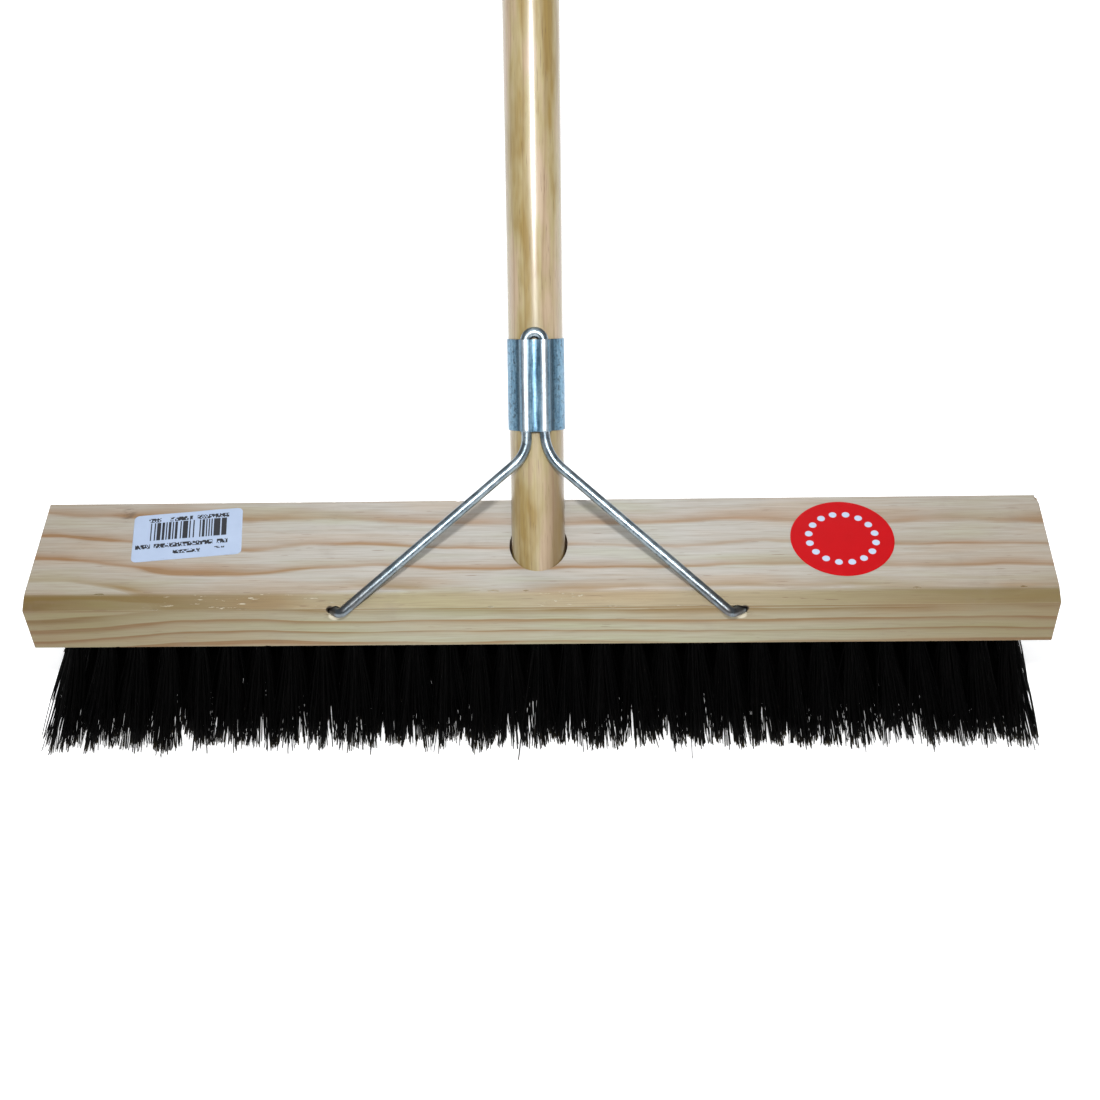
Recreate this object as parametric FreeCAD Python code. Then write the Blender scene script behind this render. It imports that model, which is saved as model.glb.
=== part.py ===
"""Push broom: a wooden platform head set with stiff fibre tufts, a leaning handle and a wire brace.

Frame, in millimetres: +X runs along the stock, +Y points to the user, whom the handle leans towards,
and +Z is up. The origin is the centre of the trimmed fibre tips, on the floor that the broom stands on.
"""

import FreeCAD, Part
import math
import os

V = FreeCAD.Vector

# ---- driving dimensions -------------------------------------------------------------------------
STOCK_LENGTH = 455.0
STOCK_WIDTH = 64.0
STOCK_THICKNESS = 28.0
BEVEL_IN = 7.0  # bevel on the front top edge, measured across the top face
BEVEL_DOWN = 3.0  # the same bevel, measured down the front face

TRIM_LENGTH = 72.0  # fibre length below the stock

HANDLE_LENGTH = 1200.0
HANDLE_DIAMETER = 25.0
HANDLE_FOOT_DIAMETER = 23.8
HANDLE_TAPER_LENGTH = 300.0
HANDLE_TILT = 38.0  # degrees from vertical, towards +Y
HANDLE_Y = 1.8  # where the handle's axis crosses the stock's top face
HANDLE_TOP_ROUND = 9.0
SOCKET_DIAMETER = 26.1
SOCKET_DEPTH = 12.6  # along the socket's axis, from the top face

TUFT_ROWS = 5
TUFTS_IN_FULL_ROW = 31
TUFT_PITCH = 14.0
TUFT_ROW_SPACING = 12.0
TUFT_HOLE_DIAMETER = 7.0
TUFT_HOLE_DEPTH = 9.0
TUFT_ROOT_DIAMETER = 6.6
TUFT_TIP_DIAMETER = 14.0
UNTRIMMED = 1.05  # a bundle's length before trimming, over its trimmed length
TIP_SPREAD_X = 1.076  # the tip pattern's length over the hole pattern's
TIP_SPREAD_Y = 1.208
ANCHOR_WIDTH = 6.4
ANCHOR_THICKNESS = 0.6
ANCHOR_HEIGHT = 2.4
FIBRE_FOLD = 1.4  # thickness of the fibre folded over each anchor

WIRE_DIAMETER = 4.5
WIRE_PAIR_SPACING = 7.9  # between the centres of the two legs under the clip
WIRE_TOP = 92.0  # centre of the U-bend, along the handle from the top face
KNEE = 43.0  # where the legs turn outwards, along the handle from the top face
FOOT_BEND_RADIUS = 3.4
TAIL_LENGTH = 19.0
TAIL_HOLE_DIAMETER = 5.2
TAIL_HOLE_SPARE = 1.0  # how much deeper the hole is than the tail
TAIL_DIP = 19.0  # degrees below level
# the two arms, bent by hand: the corner where each turns into the stock, and its tail's turn outwards
ARMS = (
    {"sign": -1, "knee_radius": 15.0, "foot": V(-86.4, -34.8, 96.3), "lean": 40.0},
    {"sign": 1, "knee_radius": 21.0, "foot": V(84.7, -35.7, 95.9), "lean": 44.0},
)

CLIP_FROM = 52.8  # lower edge of the clip, along the handle from the top face
CLIP_HEIGHT = 40.0
CLIP_THICKNESS = 0.5
CLIP_GAP = 1.6  # between the clip's two ends, behind the handle
CLIP_NAIL_ANGLE = 26.0  # each side of the gap, round the handle
CLIP_NAIL_SHANK = 1.8
CLIP_NAIL_HEAD = 5.0
CLIP_NAIL_LENGTH = 11.0

HANDLE_NAIL_SHANK = 2.8
HANDLE_NAIL_HEAD = 6.0
HANDLE_NAIL_LENGTH = 36.0
HANDLE_NAIL_DROP = 9.0  # below the top face
NAIL_HEAD_HEIGHT = 0.2  # of the head's diameter
NAIL_POINT_LENGTH = 1.4  # of the shank's diameter
NAIL_POINT_RADIUS = 0.15

STICKER_THICKNESS = 0.15
LABEL_SIZE = (49.5, 29.6)
LABEL_CORNER = 2.5
LABEL_CENTRE = (-160.1, 11.2)
LABEL_TURN = 6.0  # degrees, seen from above
ROUND_STICKER_DIAMETER = 46.4
ROUND_STICKER_CENTRE = (136.2, 5.2)

CLEARANCE = 0.05  # between pieces that only touch

# ---- sizes that follow from them ----------------------------------------------------------------
STOCK_BOTTOM = TRIM_LENGTH
STOCK_TOP = TRIM_LENGTH + STOCK_THICKNESS
STOCK_BACK = STOCK_WIDTH / 2
STOCK_FRONT = -STOCK_WIDTH / 2

TILT = math.radians(HANDLE_TILT)
ALONG = V(0, math.sin(TILT), math.cos(TILT))  # up the handle
FORWARD = V(0, -math.cos(TILT), math.sin(TILT))  # out of the handle's front, square to it
SIDE = V(1, 0, 0)
HANDLE_CROSSING = V(0, HANDLE_Y, STOCK_TOP)
# the slimmer foot bears on the front of its socket, so the two axes are this far apart
SOCKET_OFFSET = (SOCKET_DIAMETER - HANDLE_FOOT_DIAMETER) / 2 - CLEARANCE

HANDLE_FOOT = -SOCKET_DEPTH  # along the handle from the top face
TAPER_PER_MM = (HANDLE_DIAMETER - HANDLE_FOOT_DIAMETER) / HANDLE_TAPER_LENGTH
# the clip is bent to the handle's size at its upper edge
CLIP_TOP = CLIP_FROM + CLIP_HEIGHT
CLIP_BORE_RADIUS = (HANDLE_FOOT_DIAMETER + TAPER_PER_MM * (CLIP_TOP - HANDLE_FOOT)) / 2 + CLEARANCE

WIRE_RADIUS = WIRE_DIAMETER / 2
WIRE_STANDOFF = CLIP_BORE_RADIUS + WIRE_RADIUS
HALF_PAIR = WIRE_PAIR_SPACING / 2


def on_handle(along, forward=0.0, side=0.0):
    """A point placed by its distance up the handle from the stock's top face, then out and sideways."""
    return HANDLE_CROSSING + ALONG * along + FORWARD * forward + SIDE * side


def rod(base, direction, length, diameter):
    return Part.makeCylinder(diameter / 2, length, base, direction)


def nail(head_seat, direction, length, shank, head):
    """A wire nail: direction is the way it is driven, and head_seat is the underside of its head."""
    head_height = head * NAIL_HEAD_HEIGHT
    point = shank * NAIL_POINT_LENGTH
    body = rod(head_seat - direction * head_height, direction, head_height, head)
    body = body.fuse(rod(head_seat, direction, length - point, shank))
    tip_start = head_seat + direction * (length - point)
    tip = Part.makeCone(shank / 2, NAIL_POINT_RADIUS, point, tip_start, direction)
    return body.fuse(tip).removeSplitter()


# ---- tuft pattern -------------------------------------------------------------------------------
def tuft_row(row):
    """(x, y) of each hole in a row. Every second row has one tuft fewer and sits half a pitch over."""
    count = TUFTS_IN_FULL_ROW - row % 2
    y = (row - (TUFT_ROWS - 1) / 2) * TUFT_ROW_SPACING
    return [((i - (count - 1) / 2) * TUFT_PITCH, y) for i in range(count)]


def anchor(x, y):
    low = STOCK_BOTTOM + TUFT_HOLE_DEPTH - ANCHOR_HEIGHT - FIBRE_FOLD
    corner = V(x - ANCHOR_THICKNESS / 2, y - ANCHOR_WIDTH / 2, low)
    return Part.makeBox(ANCHOR_THICKNESS, ANCHOR_WIDTH, ANCHOR_HEIGHT, corner)


def tuft(x, y):
    """A root that fills its hole, folded over its anchor, and a bundle that widens to the trimmed tips."""
    mouth = V(x, y, STOCK_BOTTOM)
    tips = V(x * TIP_SPREAD_X, y * TIP_SPREAD_Y, 0)
    lean = tips - mouth
    root, tip = TUFT_ROOT_DIAMETER / 2, TUFT_TIP_DIAMETER / 2
    bundle = Part.makeCone(root, root + (tip - root) * UNTRIMMED, lean.Length * UNTRIMMED, mouth, lean)
    bundle = bundle.fuse(rod(mouth, V(0, 0, 1), TUFT_HOLE_DEPTH, TUFT_ROOT_DIAMETER))
    trim = 4 * TUFT_TIP_DIAMETER
    below_tips = Part.makeBox(trim, trim, trim, tips - V(trim / 2, trim / 2, trim))
    return bundle.cut([below_tips, anchor(x, y)])


# ---- brace --------------------------------------------------------------------------------------
def rounded(before, corner, after, radius):
    """The arc that rounds a corner between two straight runs."""
    back = (before - corner).normalize()
    ahead = (after - corner).normalize()
    half = back.getAngle(ahead) / 2
    reach = radius / math.tan(half)
    middle = (back + ahead).normalize() * (radius / math.sin(half) - radius)
    return Part.Arc(corner + back * reach, corner + middle, corner + ahead * reach)


def tail_direction(arm):
    lean, dip = math.radians(arm["lean"]), math.radians(TAIL_DIP)
    level = V(arm["sign"] * math.sin(lean), math.cos(lean), 0)
    return level * math.cos(dip) - V(0, 0, math.sin(dip))


def arm_path(arm):
    """One leg, from the U-bend down to the end of its tail: a list of lines and arcs."""
    top = on_handle(WIRE_TOP, WIRE_STANDOFF, arm["sign"] * HALF_PAIR)
    knee = on_handle(KNEE, WIRE_STANDOFF, arm["sign"] * HALF_PAIR)
    foot = arm["foot"]
    tail = foot + tail_direction(arm) * TAIL_LENGTH
    knee_arc = rounded(top, knee, foot, arm["knee_radius"])
    foot_arc = rounded(knee, foot, tail, FOOT_BEND_RADIUS)
    return [
        Part.LineSegment(top, knee_arc.StartPoint),
        knee_arc,
        Part.LineSegment(knee_arc.EndPoint, foot_arc.StartPoint),
        foot_arc,
        Part.LineSegment(foot_arc.EndPoint, tail),
    ]


def make_brace_wire():
    left, right = [arm_path(arm) for arm in ARMS]
    bend = Part.Arc(
        on_handle(WIRE_TOP, WIRE_STANDOFF, -HALF_PAIR),
        on_handle(WIRE_TOP + HALF_PAIR, WIRE_STANDOFF),
        on_handle(WIRE_TOP, WIRE_STANDOFF, HALF_PAIR),
    )
    edges = [piece.toShape() for piece in left + [bend] + right]
    path = Part.Wire(Part.__sortEdges__(edges))
    first = path.OrderedEdges[0]
    start = path.OrderedVertexes[0].Point
    section = Part.Wire(Part.makeCircle(WIRE_RADIUS, start, first.tangentAt(first.FirstParameter)))
    return path.makePipeShell([section], True, False)


def tail_hole(arm):
    return rod(arm["foot"], tail_direction(arm), TAIL_LENGTH + TAIL_HOLE_SPARE, TAIL_HOLE_DIAMETER)


# ---- clip ---------------------------------------------------------------------------------------
def across_handle(width, reach):
    """A box of the clip's height, centred on the handle's axis and reaching forward from it."""
    box = Part.makeBox(width, reach, CLIP_HEIGHT)
    box.rotate(V(0, 0, 0), SIDE, 180 - HANDLE_TILT)
    box.translate(on_handle(CLIP_TOP, 0, -width / 2))
    return box


def clip_blank(grow):
    """A sleeve round the handle, pressed up into a square-sided ridge over the two wires, grown by a wall."""
    body = rod(on_handle(CLIP_FROM), ALONG, CLIP_HEIGHT, 2 * (CLIP_BORE_RADIUS + grow))
    wire = WIRE_RADIUS + CLEARANCE + grow
    for sign in (-1, 1):
        centre = on_handle(CLIP_FROM, WIRE_STANDOFF, sign * HALF_PAIR)
        body = body.fuse(rod(centre, ALONG, CLIP_HEIGHT, 2 * wire))
    body = body.fuse(across_handle(WIRE_PAIR_SPACING, WIRE_STANDOFF + wire))
    return body.fuse(across_handle(WIRE_PAIR_SPACING + 2 * wire, WIRE_STANDOFF))


def clip_nail_axis(sign):
    """The point on the handle's axis and the outward direction of one clip nail."""
    angle = math.radians(CLIP_NAIL_ANGLE * sign)
    outward = SIDE * math.sin(angle) - FORWARD * math.cos(angle)
    return on_handle(CLIP_FROM + CLIP_HEIGHT / 2), outward


def make_clip_nails():
    nails = []
    seat = CLIP_BORE_RADIUS + CLIP_THICKNESS
    for sign in (-1, 1):
        centre, outward = clip_nail_axis(sign)
        nails.append(
            nail(centre + outward * seat, outward * -1, CLIP_NAIL_LENGTH, CLIP_NAIL_SHANK, CLIP_NAIL_HEAD)
        )
    return Part.makeCompound(nails)


def make_brace_clip():
    shell = clip_blank(CLIP_THICKNESS).cut(clip_blank(0))
    gap = Part.makeBox(CLIP_GAP, HANDLE_DIAMETER, CLIP_HEIGHT)
    gap.rotate(V(0, 0, 0), SIDE, -HANDLE_TILT)
    gap.translate(on_handle(CLIP_FROM, 0, -CLIP_GAP / 2))
    shell = shell.cut(gap)
    for sign in (-1, 1):
        centre, outward = clip_nail_axis(sign)
        shell = shell.cut(rod(centre, outward, HANDLE_DIAMETER, CLIP_NAIL_SHANK + 2 * CLEARANCE))
    return shell.removeSplitter()


# ---- stock, handle and the nail between them ----------------------------------------------------
def make_handle_nail():
    seat = V(0, STOCK_BACK, STOCK_TOP - HANDLE_NAIL_DROP)
    return nail(seat, V(0, -1, 0), HANDLE_NAIL_LENGTH, HANDLE_NAIL_SHANK, HANDLE_NAIL_HEAD)


def make_handle(pieces_in_it):
    foot = on_handle(HANDLE_FOOT)
    body = Part.makeCone(
        HANDLE_FOOT_DIAMETER / 2, HANDLE_DIAMETER / 2, HANDLE_TAPER_LENGTH, foot, ALONG
    )
    straight = HANDLE_LENGTH - HANDLE_TAPER_LENGTH
    upper = rod(foot + ALONG * HANDLE_TAPER_LENGTH, ALONG, straight, HANDLE_DIAMETER)
    top_edge = [
        e
        for e in upper.Edges
        if e.Curve.TypeId == "Part::GeomCircle"
        and e.Curve.Center.isEqual(foot + ALONG * HANDLE_LENGTH, 0.01)
    ]
    body = body.fuse(upper.makeFillet(HANDLE_TOP_ROUND, top_edge))
    return body.cut(pieces_in_it)


def make_stock(brace_wire):
    """The block: bevelled at the front, bored for the handle, drilled for the brace, nail and tufts.

    The brace beds a little into the front edge where its arms turn into their holes.
    """
    outline = [
        (STOCK_FRONT, STOCK_BOTTOM),
        (STOCK_BACK, STOCK_BOTTOM),
        (STOCK_BACK, STOCK_TOP),
        (STOCK_FRONT + BEVEL_IN, STOCK_TOP),
        (STOCK_FRONT, STOCK_TOP - BEVEL_DOWN),
    ]
    points = [V(-STOCK_LENGTH / 2, y, z) for y, z in outline]
    block = Part.Face(Part.makePolygon(points + points[:1])).extrude(V(STOCK_LENGTH, 0, 0))

    socket_floor = on_handle(HANDLE_FOOT, -SOCKET_OFFSET)
    drills = [rod(socket_floor, ALONG, 4 * SOCKET_DEPTH, SOCKET_DIAMETER), brace_wire]
    drills += [tail_hole(arm) for arm in ARMS]
    nail_start = V(0, STOCK_BACK, STOCK_TOP - HANDLE_NAIL_DROP)
    drills.append(rod(nail_start, V(0, -1, 0), HANDLE_NAIL_LENGTH, HANDLE_NAIL_SHANK))
    for row in range(TUFT_ROWS):
        for x, y in tuft_row(row):
            drills.append(rod(V(x, y, STOCK_BOTTOM), V(0, 0, 1), TUFT_HOLE_DEPTH, TUFT_HOLE_DIAMETER))
    return block.cut(drills)


# ---- paper pieces -------------------------------------------------------------------------------
def make_barcode_label():
    length, height = LABEL_SIZE
    sheet = Part.makeBox(length, height, STICKER_THICKNESS, V(-length / 2, -height / 2, 0))
    corners = [e for e in sheet.Edges if abs(e.tangentAt(e.FirstParameter).z) > 0.5]
    sheet = sheet.makeFillet(LABEL_CORNER, corners)
    sheet.rotate(V(0, 0, 0), V(0, 0, 1), LABEL_TURN)
    sheet.translate(V(LABEL_CENTRE[0], LABEL_CENTRE[1], STOCK_TOP))
    return sheet


def make_round_sticker():
    centre = V(ROUND_STICKER_CENTRE[0], ROUND_STICKER_CENTRE[1], STOCK_TOP)
    return rod(centre, V(0, 0, 1), STICKER_THICKNESS, ROUND_STICKER_DIAMETER)


def build():
    """Every node of the broom: a name and its shape."""
    handle_nail = make_handle_nail()
    clip_nails = make_clip_nails()
    brace_wire = make_brace_wire()
    nodes = {
        "stock": make_stock(brace_wire),
        "handle": make_handle([handle_nail] + clip_nails.Solids),
        "handle_nail": handle_nail,
        "brace_wire": brace_wire,
        "brace_clip": make_brace_clip(),
        "clip_nails": clip_nails,
        "barcode_label": make_barcode_label(),
        "round_sticker": make_round_sticker(),
    }
    for row in range(TUFT_ROWS):
        holes = tuft_row(row)
        nodes[f"tufts_row_{row + 1}"] = Part.makeCompound([tuft(x, y) for x, y in holes])
        nodes[f"tuft_anchors_row_{row + 1}"] = Part.makeCompound([anchor(x, y) for x, y in holes])
    return nodes


os.makedirs("parts", exist_ok=True)
for name, shape in build().items():
    box = shape.BoundBox
    print(
        f"{name:22s} valid {shape.isValid()} solids {len(shape.Solids):3d} volume {shape.Volume:10.1f} "
        f"x {box.XMin:.1f}..{box.XMax:.1f} y {box.YMin:.1f}..{box.YMax:.1f} z {box.ZMin:.1f}..{box.ZMax:.1f}"
    )
    shape.exportStep(f"parts/{name}.step")
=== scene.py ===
"""The looks of a wooden push broom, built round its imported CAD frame.

Metres, in the CAD's frame: +X runs along the stock, +Y points to the user (the handle leans that way), +Z is
up, and the origin is on the floor, under the middle of the fibre tips.
"""

import math
import random

import bmesh
import bpy
import numpy as np
from mathutils import Matrix, Vector, noise


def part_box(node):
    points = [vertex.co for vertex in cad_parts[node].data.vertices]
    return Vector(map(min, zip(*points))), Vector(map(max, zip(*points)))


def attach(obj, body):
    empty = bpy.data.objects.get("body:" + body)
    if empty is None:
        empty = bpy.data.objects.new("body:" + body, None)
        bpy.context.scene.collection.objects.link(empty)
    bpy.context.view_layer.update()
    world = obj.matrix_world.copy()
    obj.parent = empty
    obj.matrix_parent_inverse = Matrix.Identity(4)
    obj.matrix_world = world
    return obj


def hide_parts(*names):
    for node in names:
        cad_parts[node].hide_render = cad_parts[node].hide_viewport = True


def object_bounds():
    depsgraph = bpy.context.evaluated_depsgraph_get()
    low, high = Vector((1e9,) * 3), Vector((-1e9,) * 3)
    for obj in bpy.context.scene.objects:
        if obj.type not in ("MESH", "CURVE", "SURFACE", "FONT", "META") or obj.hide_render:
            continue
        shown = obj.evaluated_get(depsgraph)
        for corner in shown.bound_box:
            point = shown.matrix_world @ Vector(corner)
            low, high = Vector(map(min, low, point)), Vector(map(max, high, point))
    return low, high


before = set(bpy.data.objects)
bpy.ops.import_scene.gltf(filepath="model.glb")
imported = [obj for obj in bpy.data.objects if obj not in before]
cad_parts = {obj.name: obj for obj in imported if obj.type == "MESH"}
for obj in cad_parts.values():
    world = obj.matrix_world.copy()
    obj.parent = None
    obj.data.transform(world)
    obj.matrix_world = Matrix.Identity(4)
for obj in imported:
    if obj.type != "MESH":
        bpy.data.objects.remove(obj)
cad_low, cad_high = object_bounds()

# ---- sizes and places ----
MM = 0.001

STOCK_LOW, STOCK_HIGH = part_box("stock")
STOCK_TOP = STOCK_HIGH.z
STOCK_BOTTOM = STOCK_LOW.z
BEVEL_IN = 7.0 * MM
BEVEL_DOWN = 3.0 * MM
EDGE_ROUND = 0.45 * MM
BEVEL_ROUND = 11.0 * MM  # the planed bevel runs softly into the top

TILT = math.radians(38.0)
SIDE = Vector((1, 0, 0))
ALONG = Vector((0, math.sin(TILT), math.cos(TILT)))  # up the handle
FORWARD = Vector((0, -math.cos(TILT), math.sin(TILT)))  # out of the handle's front
HANDLE_CROSSING = Vector((0, 1.8 * MM, STOCK_TOP))
HANDLE_RADIUS = 12.5 * MM
HANDLE_FOOT_RADIUS = 11.9 * MM
HANDLE_FOOT, HANDLE_TAPER_END, HANDLE_END = -12.6 * MM, 287.4 * MM, 1187.4 * MM
HANDLE_TOP_ROUND = 9.0 * MM
SOCKET_RADIUS = 13.05 * MM
SOCKET_OFFSET = -1.1 * MM

CLIP_FROM, CLIP_TO = 52.8 * MM, 92.8 * MM
CLIP_THICKNESS = 0.5 * MM
CLIP_GAP = 1.6 * MM
CLIP_DIP = 1.1 * MM  # between the two wires
CLIP_NAIL_ANGLE = math.radians(26)
CLEARANCE = 0.05 * MM
TAPER = (HANDLE_RADIUS - HANDLE_FOOT_RADIUS) / (HANDLE_TAPER_END - HANDLE_FOOT)
CLIP_BORE_RADIUS = HANDLE_FOOT_RADIUS + TAPER * (CLIP_TO - HANDLE_FOOT) + CLEARANCE

WIRE_RADIUS = 2.25 * MM
WIRE_STANDOFF = CLIP_BORE_RADIUS + WIRE_RADIUS
HALF_PAIR = 3.95 * MM
WIRE_TOP, KNEE = 92.0 * MM, 43.0 * MM
FOOT_BEND_RADIUS = 3.4 * MM
TAIL_LENGTH = 19.0 * MM
TAIL_HOLE_RADIUS = 2.6 * MM
TAIL_DIP = math.radians(19)
ARMS = (
    {"sign": -1, "knee_radius": 15 * MM, "foot": Vector((-86.4, -34.8, 96.3)) * MM, "lean": math.radians(40)},
    {"sign": 1, "knee_radius": 21 * MM, "foot": Vector((84.7, -35.7, 95.9)) * MM, "lean": math.radians(44)},
)

NAIL_DROP = 9.0 * MM

TUFT_ROWS = 5
TUFTS_IN_FULL_ROW = 31
TUFT_PITCH = 14.0 * MM
TUFT_ROW_SPACING = 12.0 * MM
TUFT_HOLE_RADIUS = 3.5 * MM
TUFT_HOLE_DEPTH = 9.0 * MM

FIBRES_IN_TUFT = 140
WISPS = 28  # in a tuft: strands whose tips cling together
STRAND_SIDES = 3
STRAND_STEPS = 5
STRAND_RADII = (0.23, 0.37)  # least and most, in millimetres
STRAND_BOW = 1.0 * MM
ROOT_DEPTH = 6.0 * MM  # how far a strand goes up its hole
TIP_SPREAD = Vector((1.076, 1.208))  # how far apart the tufts' tips are, as a share of their holes' distance
TIP_REACH = (10.5 * MM, 7.6 * MM)  # half widths of a tuft at its tips
TIP_SCATTER = 1.15 * MM
LEAST_TIP = 0.2 * MM  # the lowest tips, over the floor
SHARE_STRAY = 0.04
SHARE_SHORT = 0.04
SPLAY, SPLAY_FROM = 7.0 * MM, 154.0 * MM  # how far use has pushed the left end outwards, and from where
FURTHEST_TIPS = (cad_low.x - 9.5 * MM, cad_high.x + 0.5 * MM)
TURN_BACK = 1.7  # a tip beyond the furthest ones is moved back by this share of its overshoot
NOTCHES = (  # in the trimmed edge, in millimetres: x, half width and depth
    (-139, 5, 8),
    (-103, 3, 6),
    (-17, 4, 7),
    (106, 6, 7),
    (170, 6, 9),
    (60, 3, 4),
    (-190, 3, 4),
)

LABEL_CENTRE = Vector((-160.1 * MM, 11.2 * MM))
LABEL_SIZE = (49.5 * MM, 29.6 * MM)
LABEL_CORNER = 2.5 * MM
LABEL_TURN = math.radians(6.0)
STICKER_CENTRE = Vector((136.2 * MM, 5.2 * MM))
STICKER_RADIUS = 23.2 * MM
PAPER_THICKNESS = 0.15 * MM
DOTS, DOT_RING, DOT_RADIUS = 16, 15.0, 1.7  # printed on the sticker; the ring and the dots in millimetres

CAMERA_PLACE = Vector((29.0, -559.1, 678.3)) * MM
CAMERA_PITCH, CAMERA_YAW, CAMERA_ROLL = math.radians(45.963), math.radians(-2.438), math.radians(2.276)
SENSOR_WIDTH, LENS = 36.0, 58.736  # millimetres
KEY_ELEVATION = math.radians(55)
KEY_DISTANCE = 0.92
FLOOR_HALF = 6.0


def on_handle(along, forward=0.0, side=0.0):
    """A point placed by its distance up the handle from the stock's top face, then out and sideways."""
    return HANDLE_CROSSING + ALONG * along + FORWARD * forward + SIDE * side


# ---- materials ----
def srgb(red, green, blue):
    """A display colour, 0 to 255, as the linear colour that nodes take."""
    linear = [c / 255 / 12.92 if c < 10.3 else ((c / 255 + 0.055) / 1.055) ** 2.4 for c in (red, green, blue)]
    return (*linear, 1)


class Shader:
    """One material, and short calls that add nodes to it. Sizes in textures are millimetres."""

    def __init__(self, name, roughness=0.5, **sockets):
        self.material = bpy.data.materials.new(name)
        self.material.use_nodes = True
        self.tree = self.material.node_tree
        self.surface = self.tree.nodes["Principled BSDF"]
        self.set(Roughness=roughness, **sockets)

    def put(self, socket, value):
        """Links a node's output to a socket, or sets the socket's own value."""
        if isinstance(value, bpy.types.NodeSocket):
            self.tree.links.new(value, socket)
        else:
            socket.default_value = value

    def new(self, kind, *values, **settings):
        made = self.tree.nodes.new("ShaderNode" + kind)
        for setting, value in settings.items():
            setattr(made, setting, value)
        for socket, value in zip(made.inputs, values):
            self.put(socket, value)
        return made

    def fill(self, node, **sockets):
        """Puts values into a node's sockets by name, with _ for a space."""
        for name, value in sockets.items():
            self.put(node.inputs[name.replace("_", " ")], value)

    def set(self, **sockets):
        self.fill(self.surface, **sockets)

    def millimetres(self, turn=(0, 0, 0), origin=(0, 0, 0)):
        """The piece's own coordinates in millimetres, in a frame at origin, turned."""
        own = self.new("TexCoord").outputs["Object"]
        place = self.new("Mapping", vector_type="TEXTURE")
        self.fill(place, Vector=own, Location=origin, Rotation=turn, Scale=(MM, MM, MM))
        return place.outputs[0]

    def split(self, vector):
        return self.new("SeparateXYZ", vector).outputs

    def math(self, operation, *values):
        return self.new("Math", *values, operation=operation).outputs[0]

    def length(self, first, second):
        flat = self.new("CombineXYZ", first, second, 0.0).outputs[0]
        return self.new("VectorMath", flat, operation="LENGTH").outputs["Value"]

    def distance(self, vector, point):
        return self.new("VectorMath", vector, tuple(point), operation="DISTANCE").outputs["Value"]

    def noise(self, vector, scale=1.0, detail=2.0, roughness=0.5):
        """Smooth noise. scale is waves in a millimetre, as one number or one for each axis."""
        if isinstance(scale, tuple):
            vector, scale = self.new("VectorMath", vector, scale, operation="MULTIPLY").outputs[0], 1.0
        made = self.new("TexNoise")
        self.fill(made, Vector=vector, Scale=scale, Detail=detail, Roughness=roughness)
        return made.outputs["Fac"]

    def chance(self, value):
        """A fixed random number from 0 to 1 for each whole value."""
        made = self.new("TexWhiteNoise", noise_dimensions="1D")
        self.fill(made, W=value)
        return made.outputs["Value"]

    def rise(self, value, low, high, start=0.0, end=1.0):
        """Goes smoothly from start to end as value goes from low to high."""
        return self.new("MapRange", value, low, high, start, end, interpolation_type="SMOOTHSTEP").outputs[0]

    def inside(self, value, centre, half, soft=0.06):
        """1 where value is within half of centre, 0 elsewhere."""
        distance = self.math("ABSOLUTE", self.math("SUBTRACT", value, centre))
        return self.rise(distance, half + soft, half - soft)

    def all_of(self, first, *others):
        """The product of several shares."""
        for other in others:
            first = self.math("MULTIPLY", first, other)
        return first

    def ramp(self, value, *stops):
        made = self.new("ValToRGB", value)
        elements = made.color_ramp.elements
        elements[0].position, elements[1].position = stops[0][0], stops[-1][0]
        for position, _ in stops[1:-1]:
            elements.new(position)
        for element, (_, colour) in zip(elements, stops):
            element.color = colour if isinstance(colour, tuple) else (colour, colour, colour, 1)
        return made.outputs[0]

    def mix(self, share, first, second, blend="MIX"):
        made = self.new("Mix", data_type="RGBA", blend_type=blend)
        for name, value in (("Factor_Float", share), ("A_Color", first), ("B_Color", second)):
            socket = next(s for s in made.inputs if s.identifier == name)
            self.put(socket, value)
        return next(s for s in made.outputs if s.identifier == "Result_Color")

    def paint(self, colour, over, share, strength=1.0):
        """A colour with another laid over a share of it."""
        return self.mix(self.math("MULTIPLY", share, strength), colour, over)

    def bump(self, height, depth, strength=1.0):
        """Relief of depth millimetres where height goes from 0 to 1, over any relief already there."""
        made = self.new("Bump")
        self.fill(made, Strength=strength, Distance=depth * MM, Height=height)
        normal = self.surface.inputs["Normal"]
        if normal.is_linked:
            self.tree.links.new(normal.links[0].from_socket, made.inputs["Normal"])
        self.tree.links.new(made.outputs[0], normal)


TORN_PINE = srgb(214, 206, 184)
LATE_WOOD = (  # how far across a ring, and the share of late wood there
    *((0.0, 0.0), (0.4, 0.02), (0.62, 0.26), (0.76, 0.58)),
    *((0.84, 1.0), (0.89, 0.92), (0.94, 0.35), (1.0, 0.0)),
)


def growth_rings(s, place, pith, width, wander):
    """Rings of a log whose pith runs along the first axis: (share of late wood, ring number)."""
    _, across, up = s.split(place)
    across, up = s.math("SUBTRACT", across, pith[0]), s.math("SUBTRACT", up, pith[1])
    ring = s.math("DIVIDE", s.math("ADD", s.length(across, up), wander), width)
    return s.ramp(s.math("FRACT", ring), *LATE_WOOD), s.math("FLOOR", ring)


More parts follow.
